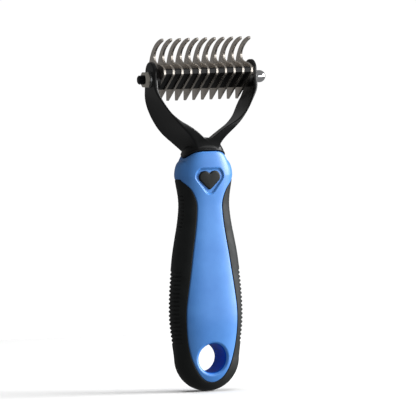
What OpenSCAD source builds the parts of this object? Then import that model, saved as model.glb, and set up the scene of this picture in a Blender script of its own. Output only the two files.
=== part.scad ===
// Dematting comb: hooked steel blades in a row on a through rod, carried by a forked
// yoke that is rooted in a two-material grip.
// The centre of the hang hole is the origin, +Z runs up the handle, the rod lies
// along X and the hooks point to -Y.

/* [Grip] */
// Distance from the hang hole to the butt end
butt_r = 18; // [14:0.5:24]
// Width across the hang hole
hole_w = 37.6; // [32:0.2:46]
// Width of the belly
belly_w = 40; // [34:0.2:50]
// Height of the belly
belly_z = 26; // [20:1:34]
// Width halfway between the belly and the waist
mid_w = 36.2; // [30:0.2:42]
// Width of the waist
waist_w = 28.2; // [24:0.2:34]
// Height of the waist
waist_z = 81; // [70:1:92]
// Width of the collar
collar_w = 32.2; // [28:0.2:40]
// Height of the collar's widest ring above the waist
collar_rise = 17; // [14:0.5:22]
// Thickness through the hang hole, front to back
hole_d = 18.4; // [16:0.2:24]
// Thickness of the belly
belly_d = 21.8; // [18:0.2:28]
// Thickness of the waist
waist_d = 17.6; // [15:0.2:22]
// Thickness of the collar
collar_d = 18.8; // [16:0.2:24]
// Height of the rounded shoulder above the collar's widest ring
shoulder_h = 8.2; // [6:0.2:11]
// Width of the collar's mouth
mouth_w = 25.2; // [22:0.2:28]
// Thickness of the collar's mouth, front to back
mouth_d = 16.6; // [14:0.2:20]
// Height that the mouth's front and back arch over its sides
mouth_arch = 4.6; // [2:0.2:6]
// Wall of the collar round the yoke's neck
lip_t = 1.2; // [0.8:0.1:2]
// Squareness of the grip's cross-section, where 2 is an ellipse
squareness = 2.5; // [2:0.1:3]

/* [Front and back panels] */
// Width of the panel across the hang hole
panel_hole_w = 24.4; // [21:0.2:28]
// Width of the panel at the belly
panel_belly_w = 29.6; // [26:0.2:33]
// Width of the panel halfway to the waist
panel_mid_w = 22; // [18:0.2:25]
// Width of the panel at the waist
panel_waist_w = 14.4; // [12:0.2:18]
// Width of the panel where it starts to flare out under the collar
panel_flare_w = 19.4; // [17:0.2:22]
// Width of the panel at the rubber's upper ends
panel_top_w = 31; // [27:0.2:32]
// Distance from the hang hole to the panel's lower edge
panel_drop = 12.8; // [11:0.1:14.5]

/* [Side grip] */
// Thickness of the rubber
rubber_t = 2.2; // [1.4:0.1:3]
// Thickness of the rubber at its upper ends
rubber_end_t = 0.6; // [0.4:0.1:1]
// Distance from the collar's widest ring down to the rubber's upper ends
rubber_end_drop = 1.6; // [1:0.1:3]
// Gap left round pieces that are bonded or moulded in
bond_gap = 0.15; // [0.1:0.01:0.25]

/* [Heart inlay] */
// Width of the heart
heart_w = 12.6; // [9:0.1:15]
// Height of the heart
heart_h = 10.2; // [8:0.1:12]
// Depth of the heart's pocket at its middle
heart_t = 1.6; // [1:0.1:2.5]
// Distance of the heart's middle below the collar's widest ring
heart_drop = 2.3; // [1:0.1:6]

/* [Hang hole] */
// Diameter of the hang hole
hang_hole_dia = 15.8; // [10:0.2:18]

/* [Yoke] */
// Distance between the arms' inner faces at the rod
fork_w = 56; // [50:0.5:66]
// Thickness of an arm at the rod
arm_t = 2.4; // [2:0.1:4]
// Half depth of an arm's round end
arm_end_r = 6; // [5:0.1:8]
// Height of the rod's axis above the collar's mouth
rod_rise = 44; // [40:0.5:52]
// Height of the arms' ends above the rod's axis
arm_top = 9.4; // [8:0.1:12]
// Half depth of the arms' widest stretch, towards the front
arm_front = 10.4; // [8:0.2:12]
// Half depth of the arms' widest stretch, towards the back
arm_back = 9.6; // [8:0.2:10]
// Swell of the arms' outer faces at the neck
arm_swell = 0.5; // [0.2:0.1:1]
// Width of the tang inside the grip
tang_w = 12; // [8:0.5:14]
// Thickness of the tang
tang_t = 7; // [5:0.5:9]
// Length of the tang below the collar's mouth
tang_l = 46; // [30:1:60]

/* [Blades and spacers] */
// Number of blades
blade_n = 11; // [7:1:11]
// Thickness of a blade
blade_t = 1.1; // [0.8:0.1:1.4]
// Thickness of a spacer between two blades
spacer_t = 4; // [3:0.1:4]
// Distance from the rod's axis forward to a blade's shoulder
blade_front = 9.7; // [8:0.1:11]
// Distance from the rod's axis back to a blade's rear edge
blade_back = 11.3; // [9:0.1:12.5]
// Height of a hook above the rod's axis
hook_rise = 21.9; // [19:0.1:25]
// Distance from the rod's axis forward to a hook's point
hook_reach = 7.4; // [5:0.1:9]
// Width of a hook's neck
neck_w = 5; // [4:0.1:6]
// Height of the notch's floor above the rod's axis
notch_z = 8.1; // [7:0.1:9]
// Distance from the rod's axis down to a blade's lower point
fang_drop = 12.4; // [10:0.1:14]
// Height of a spacer above and below the rod's axis
spacer_half_h = 5.65; // [5:0.05:6.5]
// Distance that the spacers lie behind the blades' edges
spacer_inset = 0.35; // [0.2:0.05:0.8]
// Diameter of the round spacer at each end of the row
end_spacer_dia = 11; // [9:0.2:11]

/* [Rod and fasteners] */
// Diameter of the rod
rod_dia = 5; // [4:0.1:5.4]
// Radial clearance of the rod in what turns or slides on it
rod_fit = 0.06; // [0.02:0.01:0.1]
// Side clearance between pieces that move past each other
side_fit = 0.1; // [0.05:0.01:0.2]
// Width of the hex nut across its flats
nut_af = 8; // [7:0.1:10]
// Thickness of the hex nut
nut_t = 2.7; // [2.4:0.1:5]
// Diameter of the lock washer
washer_dia = 8.6; // [8:0.1:10]
// Thickness of the lock washer
washer_t = 0.9; // [0.6:0.1:1.4]
// Length of thread that stands out past the nut
thread_out = 2.7; // [2:0.1:6]
// Diameter of the domed cap
cap_dia = 6.6; // [6.2:0.1:9]
// Length of the domed cap
cap_l = 7; // [5:0.1:8]

/* [Hidden] */
n_bend = 16;            // steps in a bent stretch of outline
n_front = 8;            // facets across a panel
n_side = 5;             // facets from a panel's edge to the side
fan_step = 10;          // degrees between sections round the butt end
collar_z = waist_z + collar_rise;
mouth_z = collar_z + shoulder_h;
rubber_top = collar_z - rubber_end_drop;
flare_h = 6.4;          // height of the panel's flare
thin_h = 8;             // height over which the rubber thins out
rod_z = mouth_z + rod_rise;
rod_r = rod_dia / 2;
slide_r = rod_r + rod_fit;
pitch = blade_t + spacer_t;
stack_half = ((blade_n - 1) * pitch + blade_t) / 2;
arm_in = fork_w / 2;
arm_out = arm_in + arm_t;
washer_x = -arm_out - side_fit;
nut_x = washer_x - washer_t - side_fit;
rod_left = nut_x - nut_t - thread_out;
cap_x = arm_out + side_fit;
cap_wall = 1.4;         // cap left beyond the rod's end
rod_right = cap_x + cap_l - cap_wall;
heart_z = collar_z - heart_drop;

function two(n) = str(n < 10 ? "0" : "", n);
blade_names = [for (i = [1:blade_n]) str("blade_", two(i))];
spacer_names = [for (i = [1:blade_n + 1]) str("spacer_", two(i))];

// ---- curves ----

// Smooth curve through [place, value] stations.
function span(s, at, i = 0) = i >= len(s) - 2 || at < s[i + 1][0] ? i : span(s, at, i + 1);
function slope(s, i) =
    let (a = max(i - 1, 0), b = min(i + 1, len(s) - 1))
    (s[b][1] - s[a][1]) / (s[b][0] - s[a][0]);
function through(s, at) =
    let (i = span(s, at), h = s[i + 1][0] - s[i][0], t = (at - s[i][0]) / h,
         v0 = s[i][1], v1 = s[i + 1][1], g0 = slope(s, i) * h, g1 = slope(s, i + 1) * h)
    v0 * (2 * t * t * t - 3 * t * t + 1) + g0 * (t * t * t - 2 * t * t + t)
    + v1 * (3 * t * t - 2 * t * t * t) + g1 * (t * t * t - t * t);

// Bezier curve with four control points.
function bend(a, b, c, d, n = n_bend) =
    [for (i = [0:n]) let (t = i / n, u = 1 - t)
        u * u * u * a + 3 * u * u * t * b + 3 * u * t * t * c + t * t * t * d];

// Distance from the centre of an ellipse to its edge, at an angle.
function ellipse_r(a, b, angle) = 1 / norm([cos(angle) / a, sin(angle) / b]);

// Solid through a list of rings that have the same even number of points. Each end is
// closed by a strip of facets between the ring's first half and its second half.
module skin(rings) {
    n = len(rings[0]);
    last = (len(rings) - 1) * n;
    sides = [for (j = [0:len(rings) - 2], i = [0:n - 1])
        let (a = j * n + i, b = j * n + (i + 1) % n, c = b + n, d = a + n)
        each [[a, c, b], [a, d, c]]];
    ends = [for (i = [0:n / 2 - 2]) let (a = i, b = i + 1, c = n - 2 - i, d = n - 1 - i)
        each [[a, b, c], [a, c, d], [last + a, last + c, last + b], [last + a, last + d, last + c]]];
    polyhedron([for (r = rings) each r], concat(sides, ends));
}

// ---- the grip's surface ----

half_w_at = [[0, hole_w / 2], [belly_z, belly_w / 2], [(belly_z + waist_z) / 2, mid_w / 2],
             [waist_z, waist_w / 2], [collar_z, collar_w / 2]];
half_d_at = [[0, hole_d / 2], [belly_z, belly_d / 2], [waist_z, waist_d / 2],
             [collar_z, collar_d / 2]];
panel_at = [[0, panel_hole_w / 2], [belly_z - 2, panel_belly_w / 2],
            [(belly_z + waist_z) / 2, panel_mid_w / 2], [waist_z, panel_waist_w / 2],
            [rubber_top - flare_h, panel_flare_w / 2], [rubber_top, panel_top_w / 2]];

// Share of the rounded shoulder that is left at height z.
function shoulder(z) = z <= collar_z ? 1 : sqrt(max(0, 1 - pow((z - collar_z) / shoulder_h, 2)));
function half_w(z) = z > collar_z
    ? mouth_w / 2 + (collar_w - mouth_w) / 2 * shoulder(z) : through(half_w_at, max(z, 0));
function half_d(z) = z > collar_z
    ? mouth_d / 2 + (collar_d - mouth_d) / 2 * shoulder(z) : through(half_d_at, max(z, 0));

// Thickness of the rubber at height z, which thins out towards its upper ends.
function rubber(z) = z > rubber_top ? 0
    : rubber_t - (rubber_t - rubber_end_t) * pow(max(0, (z - rubber_top + thin_h) / thin_h), 2);

// Half depth of the grip at x and z, with its surface moved in by a distance.
function skin_y(x, z, inset = 0) =
    let (a = half_w(z) - inset, r = z >= 0 ? abs(x) / a : norm([x / a, z / (butt_r - inset)]))
    (half_d(z) - inset) * pow(max(0, 1 - pow(r, squareness)), 1 / squareness);

// Half width of the section at height z, with the surface moved in by a distance.
function edge_x(z, inset) = (half_w(z) - inset)
    * (z >= 0 ? 1 : sqrt(max(0, 1 - pow(z / (butt_r - inset), 2))));

// Half width of the panel at height z.
function panel_x(z) = z < 0 ? max(0.3, panel_hole_w / 2 * sqrt(max(0, 1 - pow(z / panel_drop, 2))))
    : min(through(panel_at, min(z, rubber_top)), half_w(min(z, rubber_top)) - rubber(z) - 0.3);

// Height that the collar's arch adds at x and z.
function arch(x, z) = z <= collar_z ? 0
    : mouth_arch * pow((z - collar_z) / shoulder_h, 2) * (1 - pow(min(1, 2 * abs(x) / mouth_w), 4));

// Closed section of the core at height z: panel, recessed side, panel, recessed side.
function core_half(z, on_panel) =
    let (p = min(panel_x(z), edge_x(z, rubber(z)) - 0.1), s = rubber(z), e = edge_x(z, s))
    concat(
        [for (i = [0:n_front]) let (x = -p + 2 * p * i / n_front)
            [x, -skin_y(x, z, on_panel ? 0 : s), z + arch(x, z)]],
        [for (i = [0:n_side]) let (x = p + (e - p) * sin(90 * max(i, 0.02) / n_side))
            [x, -skin_y(x, z, s), z + arch(x, z)]],
        [for (i = [n_side - 1:-1:0]) let (x = p + (e - p) * sin(90 * max(i, 0.02) / n_side))
            [x, skin_y(x, z, s), z + arch(x, z)]]);
function core_ring(z, on_panel = true) =
    let (h = core_half(z, on_panel)) concat(h, [for (p = h) [-p.x, -p.y, p.z]]);

// Ring at the collar's mouth, moved in by a distance, arched or level.
function mouth_ring(inset, z, arched) =
    [for (p = core_ring(mouth_z - 0.01))
        let (x = p.x * (1 - 2 * inset / mouth_w), y = p.y * (1 - 2 * inset / mouth_d))
        [x, y, z + (arched ? arch(x, mouth_z) : 0)]];

core_low = butt_r - rubber_t;
core_levels = concat(
    [for (i = [0:4]) [-core_low * cos(8 + i * 6.5), false]],
    [[-panel_drop - 0.02, false], [-panel_drop + 0.02, true]],
    [for (i = [1:5]) [-panel_drop * cos(i * 15), true]],
    [for (i = [0:15]) [rubber_top * i / 16, true]],
    [[rubber_top - 3, true], [rubber_top - 0.02, true], [rubber_top + 0.02, true]],
    [for (i = [0:15:75]) [collar_z + shoulder_h * sin(i), true]]);

module grip_core() {
    plug_floor = mouth_z - 6;
    color("cornflowerblue")
    difference() {
        skin(concat([for (l = core_levels) core_ring(l[0], l[1])],
            [mouth_ring(0, mouth_z, true), mouth_ring(lip_t, mouth_z, true),
             mouth_ring(lip_t, plug_floor, false)]));
        rotate([90, 0, 0]) cylinder(h = belly_d * 2, d = hang_hole_dia, center = true, $fn = 96);
        translate([-tang_w / 2 - bond_gap, -tang_t / 2 - bond_gap, mouth_z - tang_l - bond_gap])
            cube([tang_w + 2 * bond_gap, tang_t + 2 * bond_gap, tang_l]);
        heart_prism(bond_gap, heart_floor() + bond_gap);
    }
}

// Section of the rubber in the plane through Y and one direction from the spine.
function rubber_section(place, dir, half, edge, depth, t) =
    let (in = half - t + bond_gap, in_d = depth - t + bond_gap,
         outer = [for (i = [-n_side:n_side])
             let (r = edge + (half - edge) * cos(90 * i / n_side))
             [r, sign(i) * depth * pow(1 - min(1, pow(r / half, squareness)), 1 / squareness)]],
         inner = [for (i = [n_side:-1:-n_side])
             let (r = edge + (in - edge) * cos(90 * i / n_side))
             [r, sign(i) * in_d * pow(1 - min(1, pow(r / in, squareness)), 1 / squareness)]])
    [for (q = concat(outer, inner)) [place.x + dir.x * q[0], q[1], place.z + dir.z * q[0]]];

function rubber_side(z, side) =
    rubber_section([0, 0, z], [side, 0, 0], half_w(z), panel_x(z) + bond_gap, half_d(z), rubber(z));
function rubber_butt(a) =
    rubber_section([0, 0, 0], [cos(a), 0, -sin(a)], ellipse_r(hole_w / 2, butt_r, a),
        ellipse_r(panel_hole_w / 2, panel_drop, a) + bond_gap, half_d(0), rubber_t);

module side_grip() {
    top = rubber_top - bond_gap;
    drops = concat([0, 0.6, 1.6, 3], [for (i = [1:15]) top * i / 16]);
    color([0.12, 0.13, 0.13])
    skin(concat(
        [for (d = drops) rubber_side(top - d, 1)],
        [for (a = [0:fan_step:180]) rubber_butt(a)],
        [for (i = [len(drops) - 1:-1:0]) rubber_side(top - drops[i], -1)]));
}

// Heart outline about its middle, grown by a distance.
function heart(grow) =
    let (w = heart_w / 2 + grow, h = heart_h / 2 + grow, lobe = w * 0.54,
         cleft = h * 0.74, flank = [w * 0.93, h * 0.02])
    concat(
        [for (a = [140:-20:-20]) [w - lobe + lobe * cos(a), h - lobe + lobe * sin(a)]],
        [[flank.x, flank.y], [0, -h], [-flank.x, flank.y]],
        [for (a = [200:-20:40]) [-w + lobe + lobe * cos(a), h - lobe + lobe * sin(a)]],
        [[0, cleft + grow]]);
function heart_floor() = -skin_y(0, heart_z) + heart_t;
module heart_prism(grow, floor_y) {
    translate([0, floor_y, heart_z]) rotate([90, 0, 0])
        linear_extrude(height = collar_d) polygon(heart(grow));
}

module heart_inlay() {
    face_y = -skin_y(heart_w / 2, heart_z);
    color([0.1, 0.1, 0.1])
    translate([0, heart_floor(), heart_z]) rotate([90, 0, 0])
        linear_extrude(height = heart_floor() - face_y) polygon(heart(0));
}

// ---- the yoke ----

arm_round = 0.7;        // corner cut along the arms' edges
flat_swell = 0.05;      // what is left of the swell at the rod
run_in = fork_w / 56;

// Edges of an arm by height above the mouth: inner and outer face at the front edge,
// then at the back edge. The lower stretch runs in to the neck.
straight_from = 38;
front_in_at = [[-2, -2], [9.8, -2], [12, 1.6], [15.5, 6], [17.7, 8.9], [19.5, 12.2], [21.7, 16.2],
               [25.9, 21.3], [30.4, 24.5], [34.6, 26.7], [straight_from, arm_in / run_in]];
front_out_at = [[-2, 5.6], [4, 5.9], [7, 6.3], [9.5, 7], [12, 8.6], [15, 11.5], [18, 15.2],
                [21, 18.4], [25.5, 22.2], [30.3, 25.6], [34.4, 28.2], [straight_from, arm_out / run_in]];
back_in_at = [[-2, -2], [6.4, -2], [8, 0.6], [11.1, 6.6], [14.1, 11.2], [18.5, 17.8], [22.7, 21.6],
              [27.4, 23.8], [30.6, 25.2], [33.2, 26.6], [straight_from, arm_in / run_in]];
back_out_at = [[-2, 7], [4, 8.4], [6, 10.6], [8.7, 13.2], [11.2, 16.4], [15.3, 20.5], [20, 24],
               [26, 27.4], [33, 29.8], [straight_from, arm_out / run_in]];
front_y_at = [[-2, 5.4], [3, 6], [6, 7], [10, arm_front - 2.6], [14, arm_front - 1.2],
              [20, arm_front], [27, arm_front - 0.8], [33, 8.0], [straight_from, 7], [44, arm_end_r]];
back_y_at = [[-2, 4.4], [3, 5], [6, 7], [10, arm_back - 1.4], [14, arm_back - 0.4], [20, arm_back],
             [29, arm_back - 0.2], [34, 8.6], [straight_from, 7.4], [44, arm_end_r]];
lift = rod_rise / 44;

// Point of a corner cut back by r towards its neighbour.
function toward(p, q, r) = p + (q - p) * min(0.4, r / norm(q - p));
function arm_section(fi, fo, bi, bo, fy, by, z, r, swell) =
    let (c = [[fi, -fy], [fo, -fy], [(fo + bo) / 2 + swell, (by - fy) / 2 + 1], [bo, by], [bi, by]],
         n = len(c))
    [for (i = [0:n - 1]) each
        [concat(toward(c[i], c[(i + n - 1) % n], r), z), concat(toward(c[i], c[(i + 1) % n], r), z)]];
function arm_low(h) = let (g = min(h, straight_from)) arm_section(
    through(front_in_at, g) * run_in, through(front_out_at, g) * run_in,
    through(back_in_at, g) * run_in, through(back_out_at, g) * run_in,
    through(front_y_at, h), through(back_y_at, h), mouth_z + h * lift, arm_round,
    max(flat_swell, arm_swell * (1 - h / straight_from)));
function arm_end(h, r) =
    arm_section(arm_in, arm_out, arm_in, arm_out, r, r, h, min(arm_round, r / 3), flat_swell);

module arm() {
    top_z = rod_z + arm_top;
    turn_z = top_z - arm_end_r;
    skin(concat(
        [for (i = [0:26]) arm_low(-1 + 45 * i / 26)],
        [for (a = [0:15:75]) arm_end(turn_z + arm_end_r * sin(a), arm_end_r * cos(a))],
        [arm_end(top_z - 0.03, 0.7)]));
}

module yoke() {
    plug_in = lip_t + bond_gap;
    bead = 0.5;
    color([0.09, 0.09, 0.1])
    difference() {
        union() {
            arm();
            mirror([1, 0, 0]) arm();
            skin([mouth_ring(plug_in, mouth_z - 5.8, false),
                  mouth_ring(plug_in, mouth_z + 0.4, true),
                  mouth_ring(bead, mouth_z + 0.9, true),
                  mouth_ring(bead, mouth_z + 1.6, true),
                  mouth_ring(lip_t + 1, mouth_z + 2.4, true),
                  mouth_ring(lip_t + 3.4, mouth_z + 5.4, true)]);
            translate([-tang_w / 2, -tang_t / 2, mouth_z - tang_l])
                cube([tang_w, tang_t, tang_l]);
        }
        on_rod(-arm_out - 1) cylinder(h = fork_w + 2 * arm_t + 2, r = slide_r, $fn = 64);
    }
}

// ---- the blades, the spacers and what holds them ----

// Places children on the rod, starting at x and pointing to +X.
module on_rod(x) {
    translate([x, 0, rod_z]) rotate([90, 0, 90]) children();
}

// Blade outline about the rod's axis: forward is negative, up is positive.
tip_r = 0.85;
corner_r = 0.5;
shoulder_low = 2.3;
fang_slope = (shoulder_low + fang_drop) / (blade_front + blade_back);
neck_back = blade_back - 2.7;
neck_front = neck_back - neck_w;
neck_z = 11.4;
function blade_outline() =
    let (tip = [-hook_reach + tip_r, hook_rise - tip_r],
         throat = [neck_front, neck_z],
         floor_at = [-2.2, notch_z],
         back = bend([blade_back, 2], [blade_back - 0.5, 12], [blade_back - 6.8, hook_rise - 2.1],
                     tip + tip_r * [0.35, 0.94]),
         end_turn = [for (a = [90:30:240]) tip + tip_r * [cos(a), sin(a)]],
         under = bend(tip + tip_r * [-0.2, -0.98], [-1.5, hook_rise - 3.3],
                      [neck_front + 0.4, neck_z + 3.2], throat),
         notch = bend(throat, [neck_front - 0.2, notch_z + 0.6], [0.5, notch_z + 0.3], floor_at, 8),
         brow = bend(floor_at, [-5.5, notch_z - 0.5], [-blade_front, notch_z - 1.3],
                     [-blade_front, notch_z - 3.9], 8))
    concat([[blade_back, -fang_drop + corner_r]], back, end_turn, under,
        [for (i = [1:len(notch) - 1]) notch[i]], [for (i = [1:len(brow) - 1]) brow[i]],
        [[-blade_front, shoulder_low + corner_r],
         [-blade_front + corner_r, shoulder_low - corner_r * fang_slope],
         [blade_back - 2 * corner_r, -fang_drop + corner_r * fang_slope]]);

module blade(i) {
    x = (i - (blade_n + 1) / 2) * pitch - blade_t / 2;
    color([0.6, 0.57, 0.54])
    on_rod(x) difference() {
        linear_extrude(height = blade_t) polygon(blade_outline());
        translate([0, 0, -1]) cylinder(h = blade_t + 2, r = slide_r, $fn = 64);
    }
}

// Spacer outline: its front follows the blade's edge, a little further back.
function spacer_outline() =
    let (front = blade_front - spacer_inset, step = spacer_inset * fang_slope + spacer_inset,
         low = (shoulder_low + spacer_half_h + step) / fang_slope)
    [[-front, shoulder_low + step], [-front, spacer_half_h - 0.6], [-front + 0.6, spacer_half_h],
     [blade_back - 2.6, spacer_half_h], [blade_back - 2, spacer_half_h - 0.6],
     [blade_back - 2, -spacer_half_h + 0.6], [blade_back - 2.6, -spacer_half_h],
     [-front + low, -spacer_half_h]];

module spacer(i) {
    end_t = arm_in - stack_half - side_fit;
    first = i == 1;
    last = i == blade_n + 1;
    x = first ? -stack_half - end_t : last ? stack_half : -stack_half + (i - 2) * pitch + blade_t;
    color([0.07, 0.07, 0.07])
    on_rod(x) difference() {
        if (first || last) cylinder(h = end_t, d = end_spacer_dia, $fn = 64);
        else linear_extrude(height = spacer_t) polygon(spacer_outline());
        translate([0, 0, -1]) cylinder(h = spacer_t + end_t + 2, r = slide_r, $fn = 64);
    }
}

module axle_rod() {
    chamfer = 0.5;
    color([0.1, 0.1, 0.1])
    on_rod(rod_left) rotate_extrude($fn = 64)
        polygon([[0, 0], [rod_r - chamfer, 0], [rod_r, chamfer], [rod_r, rod_right - rod_left],
                 [0, rod_right - rod_left]]);
}

module dome_cap() {
    r = cap_dia / 2;
    color([0.85, 0.85, 0.86])
    on_rod(cap_x) difference() {
        union() {
            cylinder(h = cap_l - r, r = r, $fn = 64);
            translate([0, 0, cap_l - r]) sphere(r = r, $fn = 64);
        }
        translate([0, 0, -r]) cylinder(h = r + rod_right - cap_x + 0.02, r = rod_r + 0.02, $fn = 64);
        translate([-r, -r, -2 * r]) cube([2 * r, 2 * r, 2 * r]);
    }
}

module lock_washer() {
    slot = 0.8;
    color([0.75, 0.75, 0.76])
    on_rod(washer_x - washer_t) difference() {
        cylinder(h = washer_t, d = washer_dia, $fn = 64);
        translate([0, 0, -1]) cylinder(h = washer_t + 2, r = slide_r + 0.1, $fn = 64);
        translate([0, -slot / 2, -1]) cube([washer_dia, slot, washer_t + 2]);
    }
}

module hex_nut() {
    r = nut_af / 2 / cos(30);
    bevel = 0.5;
    color([0.75, 0.75, 0.76])
    on_rod(nut_x - nut_t) difference() {
        intersection() {
            cylinder(h = nut_t, r = r, $fn = 6);
            rotate_extrude($fn = 64)
                polygon([[0, 0], [r - 1.6 * bevel, 0], [r + 0.1, bevel + 0.1],
                         [r + 0.1, nut_t - bevel - 0.1], [r - 1.6 * bevel, nut_t], [0, nut_t]]);
        }
        translate([0, 0, -1]) cylinder(h = nut_t + 2, r = slide_r, $fn = 64);
    }
}

grip_core();
side_grip();
heart_inlay();
yoke();
axle_rod();
dome_cap();
lock_washer();
hex_nut();
for (i = [1:blade_n]) blade(i);
for (i = [1:blade_n + 1]) spacer(i);
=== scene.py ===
import math
import bpy
import bmesh
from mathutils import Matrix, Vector


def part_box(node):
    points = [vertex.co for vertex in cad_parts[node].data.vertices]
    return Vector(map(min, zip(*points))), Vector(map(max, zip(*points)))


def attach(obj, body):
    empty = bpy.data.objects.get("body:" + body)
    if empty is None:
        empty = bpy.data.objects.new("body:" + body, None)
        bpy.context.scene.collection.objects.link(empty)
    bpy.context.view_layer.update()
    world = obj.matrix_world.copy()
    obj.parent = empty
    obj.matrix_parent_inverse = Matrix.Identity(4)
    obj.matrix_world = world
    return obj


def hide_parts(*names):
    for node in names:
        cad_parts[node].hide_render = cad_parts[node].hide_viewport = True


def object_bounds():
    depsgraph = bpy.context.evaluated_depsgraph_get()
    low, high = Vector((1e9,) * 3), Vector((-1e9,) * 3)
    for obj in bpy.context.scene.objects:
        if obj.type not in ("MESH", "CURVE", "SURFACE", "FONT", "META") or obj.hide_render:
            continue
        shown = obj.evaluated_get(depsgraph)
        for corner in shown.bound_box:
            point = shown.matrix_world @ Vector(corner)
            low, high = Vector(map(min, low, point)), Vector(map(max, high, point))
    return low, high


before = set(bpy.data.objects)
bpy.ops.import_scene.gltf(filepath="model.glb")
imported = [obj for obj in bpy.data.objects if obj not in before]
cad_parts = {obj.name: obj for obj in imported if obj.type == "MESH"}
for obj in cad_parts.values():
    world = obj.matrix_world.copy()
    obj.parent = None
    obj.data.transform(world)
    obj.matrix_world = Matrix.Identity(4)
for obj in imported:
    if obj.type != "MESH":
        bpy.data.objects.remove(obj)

cadLow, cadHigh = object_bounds()
mm = 0.001
rodLow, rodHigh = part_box("axle_rod")
capLow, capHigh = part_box("dome_cap")
heartLow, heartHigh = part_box("heart_inlay")
rodZ = (rodLow.z + rodHigh.z) / 2 / mm      # height of the rod's axis in mm
heartZ = (heartLow.z + heartHigh.z) / 2 / mm
print("frame loaded, rod axis at", round(rodZ, 2), "mm")

# camera, lights and world
studio = {
    "azimuth": 24.3, "elevation": 3.1, "roll": 1.06,       # degrees
    "distance": 3.0, "target": (0.0025, 0.0, 0.0803), "mmPerFrame": 223.4,
    "backdrop": "#FFFFFF", "backdropStrength": 1.02, "room": "#FFFFFF", "roomStrength": 0.22,
    "keyPower": 62, "keyPlace": (1.62, -0.66, 0.5), "keySize": 0.9,
    "fillPower": 3.4, "fillPlace": (0.7, -1.5, 0.18), "fillSize": 0.7,
    "overhead": 1.75, "overheadSpread": 44,
}


def linear(code):
    # sRGB hex to linear rgba
    parts = [int(code[i:i + 2], 16) / 255 for i in (1, 3, 5)]
    return [p / 12.92 if p <= 0.04045 else ((p + 0.055) / 1.055) ** 2.4 for p in parts] + [1.0]


def makeStudio(s):
    a, e = math.radians(s["azimuth"]), math.radians(s["elevation"])
    look = Vector((math.sin(a) * math.cos(e), math.cos(a) * math.cos(e), -math.sin(e)))
    cam = bpy.data.objects.new("studio_camera", bpy.data.cameras.new("studio_camera"))
    bpy.context.collection.objects.link(cam)
    cam.location = Vector(s["target"]) - look * s["distance"]
    cam.rotation_euler = look.to_track_quat("-Z", "Y").to_euler()
    cam.rotation_euler.rotate_axis("Z", math.radians(-s["roll"]))
    cam.data.sensor_width = 36
    cam.data.lens = 36 * s["distance"] / (s["mmPerFrame"] * mm)
    bpy.context.scene.camera = cam
    for name in ("key", "fill"):
        lamp = bpy.data.lights.new(name + "_softbox", "AREA")
        lamp.energy = s[name + "Power"]
        lamp.size = s[name + "Size"]
        box = bpy.data.objects.new(name + "_softbox", lamp)
        box.location = s[name + "Place"]
        box.rotation_euler = (Vector(s["target"]) - box.location).to_track_quat("-Z", "Y").to_euler()
        bpy.context.collection.objects.link(box)
    # overhead panel far up: whitens the floor and only grazes the upright faces
    lamp = bpy.data.lights.new("overhead_panel", "SUN")
    lamp.energy = s["overhead"]
    lamp.angle = math.radians(s["overheadSpread"])
    panel = bpy.data.objects.new("overhead_panel", lamp)
    panel.visible_glossy = False      # no glints on the steel's upper edges
    bpy.context.collection.objects.link(panel)
    # white backdrop for the camera, a dim room for the light that falls on the comb
    world = bpy.data.worlds.new("white_backdrop")
    world.use_nodes = True
    tree = world.node_tree
    back = tree.nodes["Background"]
    back.inputs["Color"].default_value = linear(s["backdrop"])
    back.inputs["Strength"].default_value = s["backdropStrength"]
    room = tree.nodes.new("ShaderNodeBackground")
    room.inputs["Color"].default_value = linear(s["room"])
    room.inputs["Strength"].default_value = s["roomStrength"]
    mix = tree.nodes.new("ShaderNodeMixShader")
    tree.links.new(tree.nodes.new("ShaderNodeLightPath").outputs["Is Camera Ray"], mix.inputs[0])
    tree.links.new(room.outputs[0], mix.inputs[1])
    tree.links.new(back.outputs[0], mix.inputs[2])
    tree.links.new(mix.outputs[0], tree.nodes["World Output"].inputs["Surface"])
    bpy.context.scene.world = world
    bpy.context.scene.view_settings.view_transform = "Standard"


makeStudio(studio)

# node and material helpers
noiseLow, noiseHigh = 0.3, 0.7      # the part of a noise's range that is used


def addNode(tree, kind, settings=None, links=None):
    node = tree.nodes.new(kind)
    for key, value in (settings or {}).items():
        if hasattr(node, key):
            setattr(node, key, value)
        else:
            node.inputs[key].default_value = value
    for key, source in (links or {}).items():
        tree.links.new(source, node.inputs[key])
    return node


def newMaterial(name, base, roughness, metallic=0.0, **more):
    mat = bpy.data.materials.new(name)
    mat.use_nodes = True
    shader = mat.node_tree.nodes["Principled BSDF"]
    shader.inputs["Base Color"].default_value = linear(base)
    shader.inputs["Roughness"].default_value = roughness
    shader.inputs["Metallic"].default_value = metallic
    for key, value in more.items():
        shader.inputs[key.replace("_", " ")].default_value = value
    return mat, mat.node_tree, shader


def noiseAt(tree, sizeMm, detail=3.0, stretch=(1, 1, 1)):
    # noise whose grains are about sizeMm across, pulled out by stretch
    place = addNode(tree, "ShaderNodeTexCoord")
    scale = addNode(tree, "ShaderNodeMapping", {"Scale": [1 / s for s in stretch]},
                    {"Vector": place.outputs["Object"]})
    return addNode(tree, "ShaderNodeTexNoise", {"Scale": 1 / (sizeMm * mm), "Detail": detail,
                                                "Roughness": 0.55}, {"Vector": scale.outputs[0]})


def tint(tree, shader, factor, dark, light):
    ramp = addNode(tree, "ShaderNodeMapRange", {"From Min": noiseLow, "From Max": noiseHigh},
                   {"Value": factor})
    mix = addNode(tree, "ShaderNodeMix", {"data_type": "RGBA"}, {0: ramp.outputs[0]})
    mix.inputs[6].default_value = linear(dark)
    mix.inputs[7].default_value = linear(light)
    tree.links.new(mix.outputs[2], shader.inputs["Base Color"])


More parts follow.
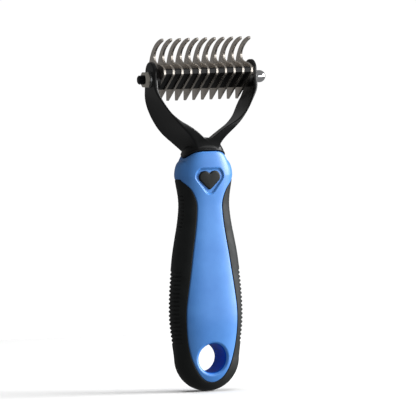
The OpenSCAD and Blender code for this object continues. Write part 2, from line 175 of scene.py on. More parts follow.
def vary(tree, shader, factor, middle, spread):
    # roughness that follows a noise, from middle + spread[0] to middle + spread[1]
    span = addNode(tree, "ShaderNodeMapRange",
                   {"From Min": noiseLow, "From Max": noiseHigh, "To Min": middle + spread[0],
                    "To Max": middle + spread[1]}, {"Value": factor})
    tree.links.new(span.outputs[0], shader.inputs["Roughness"])


def bump(tree, shader, heights, deepMm):
    # heights are stacked, each with its own depth
    last = None
    for height, deep in zip(heights, deepMm):
        node = addNode(tree, "ShaderNodeBump", {"Distance": deep * mm, "Strength": 1.0},
                       {"Height": height})
        if last:
            tree.links.new(last, node.inputs["Normal"])
        last = node.outputs[0]
    tree.links.new(last, shader.inputs["Normal"])


bluePp = {"base": "#4C8DDC", "dark": "#4686D6", "light": "#5394E2", "roughness": 0.4,
          "cloudMm": 14, "grainMm": 0.5, "grainDeepMm": 0.012, "waveMm": 9, "waveDeepMm": 0.05,
          "specular": 0.55, "roughSpread": (-0.05, 0.06)}


def makeBluePolypropylene(s, name):
    # injection moulded polypropylene: an even satin blue, soft wide highlights, faint spark grain
    mat, tree, shader = newMaterial(name, s["base"], s["roughness"], IOR=1.49,
                                    Specular_IOR_Level=s["specular"])
    cloud = noiseAt(tree, s["cloudMm"], 2)
    grain = noiseAt(tree, s["grainMm"], 2)   # real grain is 0.1 mm, drawn coarser so it shows
    wave = noiseAt(tree, s["waveMm"], 1)     # slight sink of the moulding
    tint(tree, shader, cloud.outputs[0], s["dark"], s["light"])
    vary(tree, shader, grain.outputs[0], s["roughness"], s["roughSpread"])
    bump(tree, shader, [wave.outputs[0], grain.outputs[0]], [s["waveDeepMm"], s["grainDeepMm"]])
    return mat


blackTpe = {"base": "#161919", "dark": "#111414", "light": "#1D2020", "roughness": 0.6,
            "cloudMm": 6, "grainMm": 0.45, "grainDeepMm": 0.03, "specular": 0.3,
            "roughSpread": (-0.06, 0.08)}


def makeRubber(s, name):
    # overmoulded thermoplastic rubber: matt charcoal, dusty sheen, fine pebble grain
    mat, tree, shader = newMaterial(name, s["base"], s["roughness"], IOR=1.5,
                                    Specular_IOR_Level=s["specular"])
    cloud = noiseAt(tree, s["cloudMm"], 4)
    grain = noiseAt(tree, s["grainMm"], 2)   # real grain is 0.15 mm, drawn coarser so it shows
    tint(tree, shader, cloud.outputs[0], s["dark"], s["light"])
    vary(tree, shader, cloud.outputs[0], s["roughness"], s["roughSpread"])
    bump(tree, shader, [grain.outputs[0]], [s["grainDeepMm"]])
    return mat


blackNylon = {"base": "#0E0F10", "dark": "#0B0C0D", "light": "#131415", "roughness": 0.34,
              "cloudMm": 8, "grainMm": 0.6, "grainDeepMm": 0.018, "specular": 0.28,
              "roughSpread": (-0.06, 0.07)}


def makeNylon(s, name):
    # glass-filled nylon: near black, satin, light catches along the rims
    mat, tree, shader = newMaterial(name, s["base"], s["roughness"], IOR=1.53,
                                    Specular_IOR_Level=s["specular"])
    cloud = noiseAt(tree, s["cloudMm"], 4)
    grain = noiseAt(tree, s["grainMm"], 3)   # fibre mottle, real size about 0.2 mm
    tint(tree, shader, cloud.outputs[0], s["dark"], s["light"])
    vary(tree, shader, cloud.outputs[0], s["roughness"], s["roughSpread"])
    bump(tree, shader, [grain.outputs[0]], [s["grainDeepMm"]])
    return mat


groundSteel = {"base": "#D2CBC2", "dark": "#C3BBB2", "light": "#DED8D0", "roughness": 0.36,
               "lineMm": 0.35, "lineLongMm": 9, "lineDeepMm": 0.012, "cloudMm": 5,
               "anisotropic": 0.35, "roughSpread": (-0.07, 0.07)}


def makeGroundSteel(s):
    # ground stainless steel: warm grey with lines along the hook, brighter at worn edges
    mat, tree, shader = newMaterial("ground_stainless_steel", s["base"], s["roughness"], 1.0,
                                    Anisotropic=s["anisotropic"])
    # grinding lines are 0.05 mm apart, drawn 0.35 mm apart so they show
    lines = noiseAt(tree, s["lineMm"], 4, (1, 1, s["lineLongMm"] / s["lineMm"]))
    cloud = noiseAt(tree, s["cloudMm"], 3)
    tint(tree, shader, lines.outputs[0], s["dark"], s["light"])
    vary(tree, shader, cloud.outputs[0], s["roughness"], s["roughSpread"])
    bump(tree, shader, [lines.outputs[0]], [s["lineDeepMm"]])
    return mat


nickelPlate = {"base": "#CFC9BE", "roughness": 0.2, "smearMm": 1.4, "turnDeepMm": 0.008}
zincPlate = {"base": "#A5A7A8", "roughness": 0.36, "smearMm": 0.9, "turnDeepMm": 0.008}
chromePlate = {"base": "#E2E3E5", "roughness": 0.09, "smearMm": 3.0, "turnDeepMm": 0.002}
blackOxide = {"base": "#2A2A2C", "roughness": 0.42, "smearMm": 0.8, "turnDeepMm": 0.008}
turning = {"markMm": 0.25, "across": 0.4}      # turning marks, real pitch 0.1 mm, drawn coarser


def makePlated(s, name):
    # plated or oxidised turned steel: clean reflections broken by light smears and handling marks
    mat, tree, shader = newMaterial(name, s["base"], s["roughness"], 1.0)
    smear = noiseAt(tree, s["smearMm"], 4)
    turned = noiseAt(tree, turning["markMm"], 2, (turning["across"], 1, 1))
    vary(tree, shader, smear.outputs[0], s["roughness"],
         (-0.25 * s["roughness"], 0.3 * s["roughness"]))
    bump(tree, shader, [turned.outputs[0]], [s["turnDeepMm"]])
    return mat


floorPaint = {"base": "#FAFAFA", "dark": "#F9F9F9", "light": "#FBFBFB", "roughness": 0.8,
              "cloudMm": 60}


def makeFloorPaint(s):
    # matt painted board: plain white that only shows the contact shadow
    mat, tree, shader = newMaterial("matt_white_board", s["base"], s["roughness"])
    cloud = noiseAt(tree, s["cloudMm"], 2)
    tint(tree, shader, cloud.outputs[0], s["dark"], s["light"])
    return mat


polypropylene = makeBluePolypropylene(bluePp, "moulded_polypropylene_blue")
rubber = makeRubber(blackTpe, "thermoplastic_rubber_black")
heartRubber = makeRubber(dict(blackTpe, base="#101312", dark="#0C0F0E", light="#181B1A",
                              roughness=0.52), "inlay_rubber_black")
nylon = makeNylon(blackNylon, "glass_filled_nylon_black")
spacerNylon = makeNylon(dict(blackNylon, base="#0C0C0D", dark="#090909", light="#121213",
                             roughness=0.33), "moulded_nylon_spacers")
steel = makeGroundSteel(groundSteel)
nickel = makePlated(nickelPlate, "nickel_plated_steel")
zinc = makePlated(zincPlate, "zinc_plated_steel")
chrome = makePlated(chromePlate, "polished_chrome")
oxide = makePlated(blackOxide, "black_oxide_steel")
print("materials ready")


def addPiece(name, points, faces, material, body, swaps=(), sharp=40):
    # points come in mm, and the swaps are the CAD nodes that the piece takes the place of
    mesh = bpy.data.meshes.new(name)
    mesh.from_pydata([[c * mm for c in p] for p in points], [], faces)
    mesh.validate()
    work = bmesh.new()
    work.from_mesh(mesh)
    bmesh.ops.remove_doubles(work, verts=work.verts, dist=1e-7)
    bmesh.ops.recalc_face_normals(work, faces=work.faces)
    work.to_mesh(mesh)
    work.free()
    mesh.materials.append(material)
    mesh.shade_smooth()
    mesh.set_sharp_from_angle(angle=math.radians(sharp))
    piece = bpy.data.objects.new(name, mesh)
    bpy.context.collection.objects.link(piece)
    if body:
        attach(piece, body)
    if swaps:
        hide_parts(*swaps)
    return piece


def loft(rings, caps=True, start=0):
    # faces between closed rings of one length, with a cap face at each end
    n = len(rings[0])
    points = [p for ring in rings for p in ring]
    faces = []
    for j in range(len(rings) - 1):
        for i in range(n):
            a, b = start + j * n + i, start + j * n + (i + 1) % n
            faces.append((a, b, b + n, a + n))
    if caps:
        faces.append(tuple(start + i for i in reversed(range(n))))
        faces.append(tuple(start + (len(rings) - 1) * n + i for i in range(n)))
    return points, faces


def lathe(profile, alongX, steps=96):
    # profile of (x, radius) turned about the rod's axis
    rings = [[(x + alongX, r * math.cos(2 * math.pi * i / steps),
               rodZ + r * math.sin(2 * math.pi * i / steps)) for i in range(steps)]
             for x, r in profile]
    return loft(rings)


def through(stations, at):
    # smooth curve through (place, value) stations
    last = len(stations) - 2
    i = next((k for k in range(last) if at < stations[k + 1][0]), last)

    def slope(k):
        a, b = max(k - 1, 0), min(k + 1, len(stations) - 1)
        return (stations[b][1] - stations[a][1]) / (stations[b][0] - stations[a][0])
    h = stations[i + 1][0] - stations[i][0]
    t = (at - stations[i][0]) / h
    return (stations[i][1] * (2 * t ** 3 - 3 * t * t + 1) + slope(i) * h * (t ** 3 - 2 * t * t + t)
            + stations[i + 1][1] * (3 * t * t - 2 * t ** 3) + slope(i + 1) * h * (t ** 3 - t * t))


def smooth(t):
    # eased step from 0 to 1
    t = min(1.0, max(0.0, t))
    return t * t * (3 - 2 * t)


# the grip's surface: the CAD's curves, with a slightly fuller belly and panel
grip = {
    "buttR": 18.0, "holeW": 36.6, "beltZ": 23.5, "bellyW": 41.4, "midW": 37.4, "waistW": 28.2,
    "waistZ": 81.0, "collarW": 32.2, "collarZ": 98.0, "holeD": 18.4, "bellyD": 21.8,
    "waistD": 17.6, "collarD": 18.8, "shoulderH": 8.2, "mouthW": 24.5, "mouthD": 16.6,
    "mouthArch": 4.6, "lipT": 1.2, "squareness": 2.5,
    "panelBellyW": 29.6, "panelMidW": 22.0, "panelWaistW": 14.4,
    "panelFlareW": 19.4, "panelTopW": 31.0, "panelDrop": 12.8, "panelBowZ": 22.0, "panelBow": 2.1,
    "rubberT": 2.2, "rubberEndT": 0.6, "rubberTop": 96.4, "bondGap": 0.15,
    "panelFlareH": 6.4, "rubberThinH": 8.0, "rubberMargin": 0.3, "archSquare": 4,
    "holeR": 7.9, "rimRound": 1.8, "seamRound": 0.45, "tangDeep": 6.0,
    "step": 0.8, "fineStep": 0.25, "fineFrom": 86.0,
}
mouthZ = grip["collarZ"] + grip["shoulderH"]
midZ = (grip["beltZ"] + grip["waistZ"]) / 2
halfWidths = [(0, grip["holeW"] / 2), (grip["beltZ"], grip["bellyW"] / 2), (midZ, grip["midW"] / 2),
              (grip["waistZ"], grip["waistW"] / 2), (grip["collarZ"], grip["collarW"] / 2)]
halfDepths = [(0, grip["holeD"] / 2), (grip["beltZ"], grip["bellyD"] / 2),
              (grip["waistZ"], grip["waistD"] / 2), (grip["collarZ"], grip["collarD"] / 2)]
panelHalves = [(grip["panelBowZ"] - 8, grip["panelBellyW"] / 2 - 0.35),
               (grip["panelBowZ"], grip["panelBellyW"] / 2),
               (grip["panelBowZ"] + 7, grip["panelBellyW"] / 2 - 0.35),
               (midZ, grip["panelMidW"] / 2), (grip["waistZ"], grip["panelWaistW"] / 2),
               (grip["rubberTop"] - grip["panelFlareH"], grip["panelFlareW"] / 2),
               (grip["rubberTop"], grip["panelTopW"] / 2)]


def shoulder(z):
    if z <= grip["collarZ"]:
        return 1.0
    return math.sqrt(max(0.0, 1 - ((z - grip["collarZ"]) / grip["shoulderH"]) ** 2))


def halfW(z):
    if z > grip["collarZ"]:
        return grip["mouthW"] / 2 + (grip["collarW"] - grip["mouthW"]) / 2 * shoulder(z)
    return through(halfWidths, max(z, 0))


def halfD(z):
    if z > grip["collarZ"]:
        return grip["mouthD"] / 2 + (grip["collarD"] - grip["mouthD"]) / 2 * shoulder(z)
    return through(halfDepths, max(z, 0))


def rubberAt(z):
    if z > grip["rubberTop"]:
        return 0.0
    near = max(0.0, 1 - (grip["rubberTop"] - z) / grip["rubberThinH"])
    return grip["rubberT"] - (grip["rubberT"] - grip["rubberEndT"]) * near ** 2


def skinY(x, z, inset=0.0):
    n = grip["squareness"]
    a = halfW(z) - inset
    r = abs(x) / a if z >= 0 else math.hypot(x / a, z / (grip["buttR"] - inset))
    return (halfD(z) - inset) * max(0.0, 1 - min(r, 1.0) ** n) ** (1 / n)


def edgeX(z, inset):
    low = 1.0 if z >= 0 else math.sqrt(max(0.0, 1 - (z / (grip["buttR"] - inset)) ** 2))
    return (halfW(z) - inset) * low


def panelBowX(z):
    # lower end of the panel, a full bow under its widest place
    k = (grip["panelBowZ"] - z) / (grip["panelBowZ"] + grip["panelDrop"])
    return grip["panelBellyW"] / 2 * max(0.0, 1 - min(1.0, k) ** grip["panelBow"]) ** (
        1 / grip["panelBow"])


def panelX(z):
    if z < grip["panelBowZ"]:
        return max(0.05, panelBowX(z))
    top = min(z, grip["rubberTop"])
    return min(through(panelHalves, top), halfW(top) - rubberAt(z) - grip["rubberMargin"])


def arch(x, z):
    if z <= grip["collarZ"]:
        return 0.0
    lift = ((z - grip["collarZ"]) / grip["shoulderH"]) ** 2
    return grip["mouthArch"] * lift * (
        1 - min(1.0, 2 * abs(x) / grip["mouthW"]) ** grip["archSquare"])


# blue core with the recess round the heart and the rounded hang hole
recess = {"deep": 0.95, "wall": 1.15, "halfTop": 4.7, "top": 2.2, "point": -4.0, "round": 3.5,
          "lip": 0.35, "crown": 0.25, "crownFrom": 1.4, "crownWide": 2.5, "reachX": 11, "reachZ": 10}


def shieldDistance(x, z):
    # distance to a rounded triangle that points down, negative inside
    corners = [(-recess["halfTop"], recess["top"]), (recess["halfTop"], recess["top"]),
               (0.0, recess["point"])]
    best, inside = 1e9, True
    for (ax, az), (bx, bz) in zip(corners, corners[1:] + corners[:1]):
        ex, ez = bx - ax, bz - az
        px, pz = x - ax, z - az
        t = min(1.0, max(0.0, (px * ex + pz * ez) / (ex * ex + ez * ez)))
        best = min(best, math.hypot(px - ex * t, pz - ez * t))
        inside = inside and (ex * pz - ez * px) <= 0
    return (-best if inside else best) - recess["round"]


def recessAt(x, z):
    # how far the front panel is sunk, with a low crown under the heart
    if abs(x) > recess["reachX"] or abs(z - heartZ) > recess["reachZ"]:
        return 0.0
    d = shieldDistance(x, z - heartZ)
    sunk = smooth((recess["lip"] - d) / recess["wall"])
    crown = smooth((-d - recess["crownFrom"]) / recess["crownWide"])
    return recess["deep"] * sunk - recess["crown"] * crown


def coreRing(z, onPanel, panelSteps=132, sideSteps=8):
    # one level of the core: front panel, right side, back panel, left side
    s = rubberAt(z)
    e = edgeX(z, s)
    p = min(panelX(z), e - 0.1)
    f = min(grip["seamRound"], p * 0.5) if z <= grip["rubberTop"] + 0.05 and onPanel else 0.0
    half = []
    for i in range(panelSteps + 1):
        t = -1 + 2 * i / panelSteps
        x = p * (0.6 * t + 0.4 * math.sin(math.pi * t / 2))
        y = skinY(x, z, 0.0 if onPanel else s)
        if f and abs(x) > p - f:
            over = (abs(x) - p + f) / f
            y -= f * (1 - math.sqrt(max(0.0, 1 - over * over)))
        half.append((x, y, z + arch(x, z)))
    side = []
    for i in range(1, sideSteps + 1):
        x = p + (e - p) * math.sin(math.pi / 2 * max(i - 1, 0.02) / (sideSteps - 1))
        side.append((x, skinY(x, z, s), z + arch(x, z)))
    front = [(x, -y + recessAt(x, z), h) for x, y, h in half]
    right = [(x, -y, h) for x, y, h in side] + [(x, y, h) for x, y, h in reversed(side[:-1])]
    back = [(-x, y, h) for x, y, h in half]
    left = [(-x, -y, h) for x, y, h in right]
    return front + right + back + left


def mouthRing(inset, z, arched, ring):
    # the collar's outline drawn in by inset, flat or following the arch of its lip
    made = []
    for x, y, h in ring:
        px = x * (1 - 2 * inset / grip["mouthW"])
        py = y * (1 - 2 * inset / grip["mouthD"])
        made.append((px, py, z + (arch(px, mouthZ) if arched else 0)))
    return made


def makeCore():
    # butt, panel and collar in one skin, closed by the rolled lip and the pocket for the tang
    low = grip["buttR"] - grip["rubberT"]
    drop = grip["panelDrop"]
    # each level is (height, whether the panel covers it)
    butt = [-low * math.cos(math.radians(6 + i * 3)) for i in range(10)]
    levels = [(z, False) for z in butt if z < -drop - 0.1]
    levels += [(-drop - 0.03, False), (-drop + 0.02, True)]
    levels += [(-drop * math.cos(math.radians(a)), True) for a in range(3, 90, 3)]
    z = 0.0
    while z < grip["rubberTop"] - 0.3:
        levels.append((z, True))
        z += grip["fineStep"] if z > grip["fineFrom"] else grip["step"]
    levels += [(grip["rubberTop"] - 0.02, True), (grip["rubberTop"] + 0.02, True)]
    z = grip["rubberTop"] + 0.4
    while z < grip["collarZ"]:
        levels.append((z, True))
        z += grip["fineStep"]
    levels += [(grip["collarZ"] + grip["shoulderH"] * math.sin(math.radians(a)), True)
               for a in range(0, 88, 2)]
    rings = [coreRing(z, on) for z, on in levels]
    last = coreRing(mouthZ - 0.01, True)
    for inset, up in ((0.02, 0.12), (0.15, 0.25), (0.45, 0.3), (0.85, 0.22), (1.1, 0.02), (1.2, -0.3)):
        rings.append(mouthRing(inset, mouthZ + up, True, last))
    rings.append(mouthRing(grip["lipT"], mouthZ - grip["tangDeep"], False, last))
    points, faces = loft(rings)
    return addPiece("grip_core_moulded", points, faces, polypropylene, "handle",
                    ("grip_core",), 38)


def makeHoleCutter(steps=120, arcSteps=8):
    # bore with its mouths rolled over to the panels
    r, f = grip["holeR"], grip["rimRound"]
    ringCount = 2 * (arcSteps + 3)
    rings = [[] for _ in range(ringCount)]
    for i in range(steps):
        a = 2 * math.pi * i / steps
        cx, cz = math.cos(a), math.sin(a)
        ys = skinY((r + f) * cx, (r + f) * cz)
        profile = [(r + f + 0.6, ys + 3), (r + f + 0.02, ys + 0.3)]
        for k in range(arcSteps + 1):
            t = math.pi / 2 * k / arcSteps
            profile.append((r + f - f * math.sin(t), ys - f + f * math.cos(t)))
        for k, (pr, py) in enumerate(profile):
            rings[k].append((pr * cx, -py, pr * cz))
            rings[ringCount - 1 - k].append((pr * cx, py, pr * cz))
    points, faces = loft(rings)
    return addPiece("hole_cutter", points, faces, polypropylene, None)


def cutAway(piece, cutter):
    # applies the piece's modifiers and takes the cutter out of it
    mod = piece.modifiers.new("cut", "BOOLEAN")
    mod.object = cutter
    mod.operation = "DIFFERENCE"
    mod.solver = "EXACT"
    dg = bpy.context.evaluated_depsgraph_get()
    made = bpy.data.meshes.new_from_object(piece.evaluated_get(dg))
    piece.modifiers.clear()
    piece.data = made
    bpy.data.objects.remove(cutter)
    made.shade_smooth()
    made.set_sharp_from_angle(angle=math.radians(38))


# painted shade: the bore's wall gets a deeper copy of the same blue plastic, standing in for the shade
# in the hole and the light soaking into it
boreShadeTone = dict(bluePp, base="#005CC6", dark="#0055BC", light="#0063D0", specular=0.06)
boreShadedBlue = makeBluePolypropylene(boreShadeTone, "moulded_polypropylene_bore_painted_shade")

core = makeCore()
cutAway(core, makeHoleCutter())
# faces of the bore's wall take the painted-shade copy of the blue
core.data.materials.append(boreShadedBlue)
for face in core.data.polygons:
    if math.hypot(face.center.x, face.center.z) < (grip["holeR"] + 0.25) * mm:
        face.material_index = len(core.data.materials) - 1
print("grip core built:", len(core.data.polygons), "faces")

# rubber side grip with its two runs of ribs
ribs = {"deep": 0.8, "upper": (67.6, 90.4), "upperPitch": 2.1, "upperHalf": 4.3,
        "lower": (7.5, 47.5), "lowerPitch": 2.25, "lowerHalf": 6.7, "soft": 0.9, "narrow": 1.5,
        "endSoft": 3.0, "endShare": 0.6, "plainUnder": 6.0, "plain": (50.0, 66.0),
        "plainStep": 0.8, "ribStep": 0.26, "tipH": 0.8, "tipRound": 0.35}


def ribAt(z, y):
    # depth of the groove between two ribs, shallower at both ends of a run
    for run in ("upper", "lower"):
        low, high = ribs[run]
        if low < z < high:
            count = round((high - low) / ribs[run + "Pitch"])
            phase = (z - low) / (high - low) * count
            wave = 0.5 - 0.5 * math.cos(2 * math.pi * phase)
            across = smooth((ribs[run + "Half"] - abs(y)) / ribs["soft"])
            nearEnd = smooth(min(z - low, high - z) / ribs["endSoft"])
            share = ribs["endShare"] + (1 - ribs["endShare"]) * nearEnd
            return ribs["deep"] * wave ** ribs["narrow"] * across * share
    return 0.0


def rubberSection(placeZ, dirX, dirZ, half, edge, depth, t, ribZ):
    # a slice of the rubber from the front panel to the back one, cut outwards along (dirX, dirZ)
    n = grip["squareness"]
    gap, f = grip["bondGap"], min(0.5, t * 0.6)      # f rounds the edge beside the panel
    reach = [edge + f + (half - edge - f) * math.cos(math.pi / 2 * i / 22) for i in range(23)]
    reach += [edge + f * k for k in (0.7, 0.42, 0.2, 0.06, 0.0)]
    outer = []
    for r in reach:
        y = depth * (1 - min(1.0, r / half) ** n) ** (1 / n)
        over = max(0.0, (edge + f - r) / f)
        y -= f * (1 - math.sqrt(max(0.0, 1 - over * over)))
        outer.append((r, y))
    cut = [(r - ribAt(ribZ, y) * min(1.0, (r - edge) / (half - edge) * 1.6), y) if ribZ is not None
           else (r, y) for r, y in outer]
    outline = [(r, -y) for r, y in reversed(cut)] + cut[1:]
    inHalf, inDepth = half - t + gap, depth - t + gap
    inner = []
    for i in range(8, -9, -1):
        r = edge + (inHalf - edge) * math.cos(math.pi / 2 * i / 8)
        y = inDepth * (1 - min(1.0, r / inHalf) ** n) ** (1 / n)
        inner.append((r, y if i >= 0 else -y))
    return [(dirX * r, y, placeZ + dirZ * r) for r, y in outline + inner]


def makeSideGrip():
    # down one side, round the butt and up the other, in slices that are fine where the ribs are
    top = grip["rubberTop"] - grip["bondGap"]
    zs = [top, top - 0.25, top - 0.6]
    z = top - 1.0
    while z > 0.05:
        zs.append(z)
        plain = z <= ribs["plainUnder"] or ribs["plain"][0] < z < ribs["plain"][1]
        z -= ribs["plainStep"] if plain else ribs["ribStep"]

    def sideRing(z, side):
        tip = (smooth((top - z) / ribs["tipH"]) - 1) * ribs["tipRound"]     # rounded upper end
        return rubberSection(z, side, 0, halfW(z) + tip, panelX(z) + grip["bondGap"],
                             halfD(z) + tip, rubberAt(z), z)
    rings = [sideRing(z, 1) for z in zs]
    for a in range(0, 181, 3):
        c, s = math.cos(math.radians(a)), math.sin(math.radians(a))
        half = 1 / math.hypot(c / (grip["holeW"] / 2), s / grip["buttR"])
        edge, far = 5.0, grip["buttR"]
        for _ in range(30):         # where this direction leaves the panel
            middle = (edge + far) / 2
            inside = middle * s < grip["panelDrop"] and abs(middle * c) < panelBowX(-middle * s)
            edge, far = (middle, far) if inside else (edge, middle)
        rings.append(rubberSection(0, c, -s, half, edge + grip["bondGap"], halfD(0),
                                   grip["rubberT"], None))
    rings += [sideRing(z, -1) for z in reversed(zs)]
    points, faces = loft(rings)
    return addPiece("side_grip_ribbed", points, faces, rubber, "handle",
                    ("side_grip",), 50)


sideGrip = makeSideGrip()
print("side grip built:", len(sideGrip.data.polygons), "faces")

# heart inlay, pillowed
heart = {"w": 12.6, "h": 10.2, "sunk": 0.27, "round": 0.9, "puff": 0.55, "deep": 1.4,
         "lobe": 0.54, "cleft": 0.74}


def heartOutline(inset):
    # heart drawn in by inset along its own normals
    w, h = heart["w"] / 2, heart["h"] / 2
    lobe = w * heart["lobe"]
    right = [(w - lobe + lobe * math.cos(math.radians(a)),
              h - lobe + lobe * math.sin(math.radians(a))) for a in range(140, -24, -8)]
    flank = [(w * 0.93, h * 0.02), (w * 0.62, -h * 0.37), (w * 0.3, -h * 0.74), (w * 0.08, -h * 0.97)]
    side = right + flank
    full = side + [(0.0, -h)] + [(-x, z) for x, z in reversed(side)] + [(0.0, h * heart["cleft"])]
    made, n = [], len(full)
    for i, (x, z) in enumerate(full):
        ax, az = full[i - 1]
        bx, bz = full[(i + 1) % n]
        tx, tz = bx - ax, bz - az
        size = math.hypot(tx, tz) or 1.0
        made.append((x + inset * tz / size, z - inset * tx / size))
    return made


def makeHeart(steps=7):
    # flat under the skin, with its edge rolled over into a cushion
    r, base = heart["round"], -skinY(0, heartZ) + heart["deep"]
    rings = [[(x, base, heartZ + z) for x, z in heartOutline(0)]]
    for k in range(steps + 1):
        t = math.pi / 2 * k / steps
        inset, up = r * (1 - math.cos(t)), r * heart["puff"] * (1 - math.sin(t))
        rings.append([(x, -skinY(x, heartZ + z) + heart["sunk"] + up, heartZ + z)
                      for x, z in heartOutline(inset)])
    points, faces = loft(rings)
    return addPiece("heart_inlay_pillowed", points, faces, heartRubber, "handle",
                    ("heart_inlay",), 40)


makeHeart()
print("heart built")

# yoke, melted together from its arms, web and neck
yoke = {"forkW": 56.0, "armT": 2.4, "endR": 6.0, "rise": 44.0, "top": 9.4, "front": 10.4,
        "back": 9.6, "swell": 0.5, "straight": 38.0, "corner": 0.7, "ridge": 4.0, "clear": 0.12,
        "voxel": 0.3, "melt": 8, "boreR": 2.56, "beadR": 0.75, "beadIn": 1.0, "beadUp": 1.3,
        "webHalf": 1.7, "webTop": 12.2, "webIn": 0.15, "tangDeep": 5.8}
armIn = yoke["forkW"] / 2
armOut = armIn + yoke["armT"]
# stations of (height over the collar's lip, x) for the inner and outer face of the right arm,
# at its front edge and at its back edge
frontIn = [(-2, -2), (9.8, -2), (12, 1.6), (15.5, 6), (17.7, 8.9), (19.5, 12.2), (21.7, 16.2),
           (25.9, 21.3), (30.4, 24.5), (34.6, 26.7), (38, armIn)]
frontOut = [(-2, 5.6), (4, 5.9), (7, 6.5), (9.5, 7.5), (12, 9.3), (15, 12.2), (18, 15.6), (21, 18.5),
            (25.5, 22.2), (30.3, 25.6), (34.4, 28.2), (38, armOut)]
backIn = [(-2, -2), (6.4, -2), (8, 0.6), (11.1, 6.6), (14.1, 11.2), (18.5, 17.8), (22.7, 21.6),
          (27.4, 23.8), (30.6, 25.2), (33.2, 26.6), (38, armIn)]
backOut = [(-2, 7.4), (4, 9.3), (6, 11.4), (8.7, 14), (11.2, 17), (15.3, 21), (20, 24.3),
           (26, 27.4), (33, 29.8), (38, armOut)]
# stations of (height over the collar's lip, depth) for an arm's front and back edge
frontY = [(-2, 5.4), (3, 6), (6, 7), (10, yoke["front"] - 2.6), (14, yoke["front"] - 1.2),
          (20, yoke["front"]), (27, yoke["front"] - 0.8), (33, 8), (38, 7),
          (yoke["rise"], yoke["endR"])]
backY = [(-2, 4.4), (3, 5), (6, 7), (10, yoke["back"] - 1.4), (14, yoke["back"] - 0.4),
         (20, yoke["back"]), (29, yoke["back"] - 0.2), (34, 8.6), (38, 7.4),
         (yoke["rise"], yoke["endR"])]


def armSection(front, back, depths, z, cornerR, swell):
    # front and back are (inner x, outer x), and the corner between them is a soft outer ridge
    (frontInner, frontOuter), (backInner, backOuter), (fy, by) = front, back, depths
    corners = [(frontInner, -fy), (frontOuter, -fy),
               ((frontOuter + backOuter) / 2 + swell, (by - fy) / 2 + 1),
               (backOuter, by), (backInner, by)]
    ring = []
    for i, (x, y) in enumerate(corners):
        ends = []
        for qx, qy in (corners[i - 1], corners[(i + 1) % 5]):
            reach = (yoke["ridge"] if i == 2 else cornerR) / math.hypot(qx - x, qy - y)
            k = min(0.45, reach)
            ends.append((x + (qx - x) * k, y + (qy - y) * k))
        (fromX, fromY), (toX, toY) = ends
        for t in (0.0, 0.25, 0.5, 0.75, 1.0):      # rounded corner
            ring.append(((1 - t) ** 2 * fromX + 2 * t * (1 - t) * x + t * t * toX,
                         (1 - t) ** 2 * fromY + 2 * t * (1 - t) * y + t * t * toY, z))
    return ring


def eased(stations, h, last):
    # a station curve averaged over 5 mm, so it flows without corners
    return sum(through(stations, min(h + k / 2, last)) for k in range(-5, 6)) / 11


def armDepths(h):
    return eased(frontY, h, yoke["rise"]), eased(backY, h, yoke["rise"])


def armRings(steps=120):
    # one arm from the collar's lip up to its round end
    rings, g = [], yoke["straight"]
    for i in range(steps + 1):
        h = -1 + (yoke["rise"] + 1) * i / steps
        # the inner faces never come nearer to the blades than their stations
        nearFront = max(eased(frontIn, h, g), through(frontIn, min(h, g))) + yoke["clear"]
        nearBack = max(eased(backIn, h, g), through(backIn, min(h, g))) + yoke["clear"]
        rings.append(armSection((nearFront, eased(frontOut, h, g)),
                                (nearBack, eased(backOut, h, g)), armDepths(h), mouthZ + h,
                                yoke["corner"], max(0.05, yoke["swell"] * (1 - h / g))))
    endZ = rodZ + yoke["top"] - yoke["endR"]
    for a in range(0, 86, 5):
        r = yoke["endR"] * math.cos(math.radians(a))
        rings.append(armSection((armIn, armOut), (armIn, armOut), (r, r),
                                endZ + yoke["endR"] * math.sin(math.radians(a)),
                                min(yoke["corner"], r / 3), 0.05))
    return rings


def neckRings():
    # tang in the collar, then the neck that draws in towards the crotch: (inset, height)
    last = coreRing(mouthZ - 0.01, True)
    plug = grip["lipT"] + grip["bondGap"]
    rings = [mouthRing(plug, mouthZ - yoke["tangDeep"], False, last)]
    for inset, h in ((plug, 0.45), (0.7, 0.8), (0.7, 2.0), (1.1, 3.4), (2.2, 4.8), (4.4, 5.8)):
        rings.append(mouthRing(inset, mouthZ + h, True, last))
    return rings


def webRings():
    # a little web that rounds the crotch once the arms are melted together
    w, rings = yoke["webHalf"], []
    for h in (7.0, 8.0, 9.0, 10.0, 11.0, yoke["webTop"]):
        front, back = [depth - yoke["webIn"] for depth in armDepths(h)]
        rings.append([(x, y, mouthZ + h)
                      for x, y in ((-w, -front), (w, -front), (w, back), (-w, back))])
    return rings


def makeYoke():
    right = armRings()
    left = [[(-x, y, z) for x, y, z in ring] for ring in right]
    points, faces = [], []
    for rings in (right, left, neckRings(), webRings()):
        more, moreFaces = loft(rings, start=len(points))
        points, faces = points + more, faces + moreFaces
    piece = addPiece("yoke_moulded", points, faces, nylon, "handle", ("yoke",))
    melt = piece.modifiers.new("melt", "REMESH")
    melt.mode = "VOXEL"
    melt.voxel_size = yoke["voxel"] * mm
    melt.use_smooth_shade = True
    relax = piece.modifiers.new("relax", "SMOOTH")
    relax.factor = 0.5
    relax.iterations = yoke["melt"]
    hole, holeFaces = lathe([(-1, yoke["boreR"]), (2 * armOut + 1, yoke["boreR"])], -armOut)
    cutter = addPiece("yoke_cutter", hole, holeFaces, nylon, None)
    cutAway(piece, cutter)
    return piece


yokePiece = makeYoke()
print("yoke built:", len(yokePiece.data.polygons), "faces")


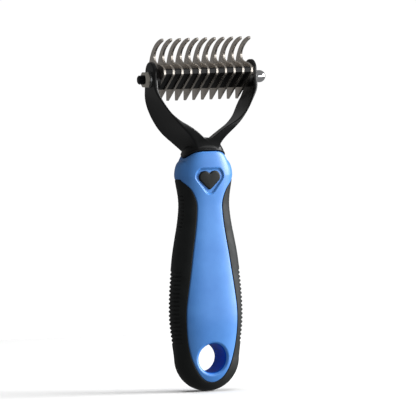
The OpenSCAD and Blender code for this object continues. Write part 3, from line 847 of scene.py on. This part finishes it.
def makeBead(steps=12):
    # moulded bead that sits on the collar's lip
    path = mouthRing(yoke["beadIn"], mouthZ + yoke["beadUp"], True, coreRing(mouthZ - 0.01, True))
    r, rings = yoke["beadR"], []
    for i in range(0, len(path), 2):
        a, b, c = [Vector(path[k % len(path)]) for k in (i - 2, i, i + 2)]
        run = (c - a).normalized()
        out = Vector((b.x, b.y, 0)).normalized()
        out = (out - run * out.dot(run)).normalized()
        up = run.cross(out)
        turns = [2 * math.pi * k / steps for k in range(steps)]
        rings.append([tuple(b + out * r * math.cos(t) + up * r * math.sin(t)) for t in turns])
    points, faces = loft(rings + [rings[0]], caps=False)
    return addPiece("yoke_neck_bead", points, faces, nylon, "handle")


makeBead()
print("neck bead laid")

# rod, cap and fasteners
threads = {"pitch": 0.8, "deep": 0.42, "endLong": 6.0, "rodR": 2.5, "chamfer": 0.5,
           "runOut": 0.6, "ringStep": 0.08}
dome = {"lip": 0.25}


def makeRod(steps=64):
    # the thread shows at the nut's end, the rest of the rod is plain
    r0, left, right = threads["rodR"], rodLow.x / mm, rodHigh.x / mm
    x, places, rings = left, [], []
    while x < left + threads["endLong"]:
        places.append(x)
        x += threads["ringStep"]
    places += [left + threads["endLong"] + 0.3, right]
    for x in places:
        ring, inFrom = [], x - left
        for i in range(steps):
            turn = i / steps
            wave = abs(((x / threads["pitch"] + turn) % 1.0) - 0.5) * 2
            fade = smooth((threads["endLong"] - inFrom) / threads["runOut"])
            r = r0 - threads["deep"] * wave * fade
            r = min(r, r0 - threads["chamfer"] + inFrom)
            a = 2 * math.pi * turn
            ring.append((x, r * math.cos(a), rodZ + r * math.sin(a)))
        rings.append(ring)
    points, faces = loft(rings)
    return addPiece("axle_rod_threaded", points, faces, oxide, "rod", ("axle_rod",), 50)


def makeCap():
    # domed cap with a softened lip and a half ball for its end
    x0, long = capLow.x / mm, (capHigh.x - capLow.x) / mm
    r, lip = (capHigh.z - capLow.z) / 2 / mm, dome["lip"]
    profile = [(0, 0.05), (0, r - lip), (0.28 * lip, r - 0.32 * lip), (lip, r), (long - r, r)]
    profile += [(long - r + r * math.sin(math.radians(a)), r * math.cos(math.radians(a)))
                for a in range(5, 90, 5)]
    profile.append((long, 0.03))
    points, faces = lathe(profile, x0)
    return addPiece("dome_cap_polished", points, faces, chrome, "rod",
                    ("dome_cap",), 35)


makeRod()
makeCap()

# CAD nodes that keep their shape get their finish and the rounding of their edges in mm
carried = {"hex_nut": (nickel, 0.18), "lock_washer": (zinc, 0.12)}
carried.update({f"blade_{i:02d}": (steel, 0.16) for i in range(1, 12)})
carried.update({f"spacer_{i:02d}": (spacerNylon, 0.3) for i in range(1, 13)})
for name, (material, roundMm) in carried.items():
    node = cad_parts[name]
    node.data.materials.clear()
    node.data.materials.append(material)
    soft = node.modifiers.new("worn_edges", "BEVEL")
    soft.width = roundMm * mm
    soft.segments = 3
    soft.limit_method = "ANGLE"
    soft.angle_limit = math.radians(35)
print("blades, spacers and fasteners finished")

board = {"gap": 0.05, "steps": 96,
         "rings": ((0.5, 0), (60.5, 0), (200.5, 0), (300.5, 0), (400.5, 0), (404.5, -1), (404.5, -4))}


def makeFloor():
    # round white board under the butt, with a dropped rim: rings of (radius, height)
    steps = board["steps"]
    turns = [2 * math.pi * i / steps for i in range(steps)]
    rings = [[(r * math.cos(t), r * math.sin(t), cadLow.z / mm - board["gap"] + up)
              for t in turns] for r, up in board["rings"]]
    points, faces = loft(rings, caps=False)
    faces.append(tuple(range(steps)))
    piece = addPiece("studio_floor", points, faces, makeFloorPaint(floorPaint), None)
    piece.visible_diffuse = False     # the board catches the shadow but throws no light back
    piece.visible_glossy = False


makeFloor()
print("floor laid")
